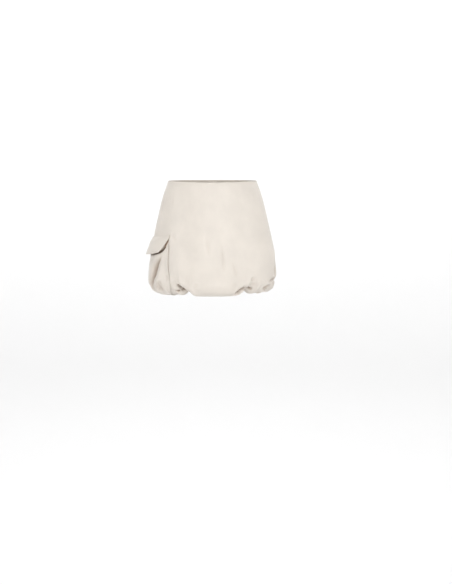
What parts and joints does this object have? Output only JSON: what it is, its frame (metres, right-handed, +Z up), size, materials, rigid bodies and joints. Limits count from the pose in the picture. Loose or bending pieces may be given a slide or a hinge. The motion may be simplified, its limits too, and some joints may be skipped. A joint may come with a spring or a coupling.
{
  "type": "balloon mini skirt",
  "caption": "Worn-shape satin mini skirt with a turned-in, gathered balloon hem, a puffed cargo pocket with a flap on the hip and a concealed back zip.",
  "frame": {"origin": "middle of the waist opening, level with the top edge at its sides and back", "axes": "+Z up along the wearer, front faces -Y, +X to the wearer's left; the pocket is at -X"},
  "size_m": [0.4172, 0.3154, 0.3619],
  "materials": {
    "satin": "soft satin sheen",
    "band": "matt",
    "tape": "matt woven",
    "zip_metal": "satin paint"
  },
  "bodies": {
    "skirt": {"front_panel": "satin", "back_panel_left": "satin", "back_panel_right": "satin", "hem_band": "band", "pocket_pouch": "satin", "pocket_flap": "satin", "zip_tape": "tape", "zip_slider": "zip_metal"},
    "zip_pull": {"zip_pull_tab": "zip_metal"}
  },
  "joints": [
    {"name": "zip_pull_hinge", "type": "hinge", "parent": "skirt", "child": "zip_pull", "pos_m": [0, 0.10965, -0.00719], "axis": [1, 0, 0], "range_deg": [0, 150]}
  ]
}
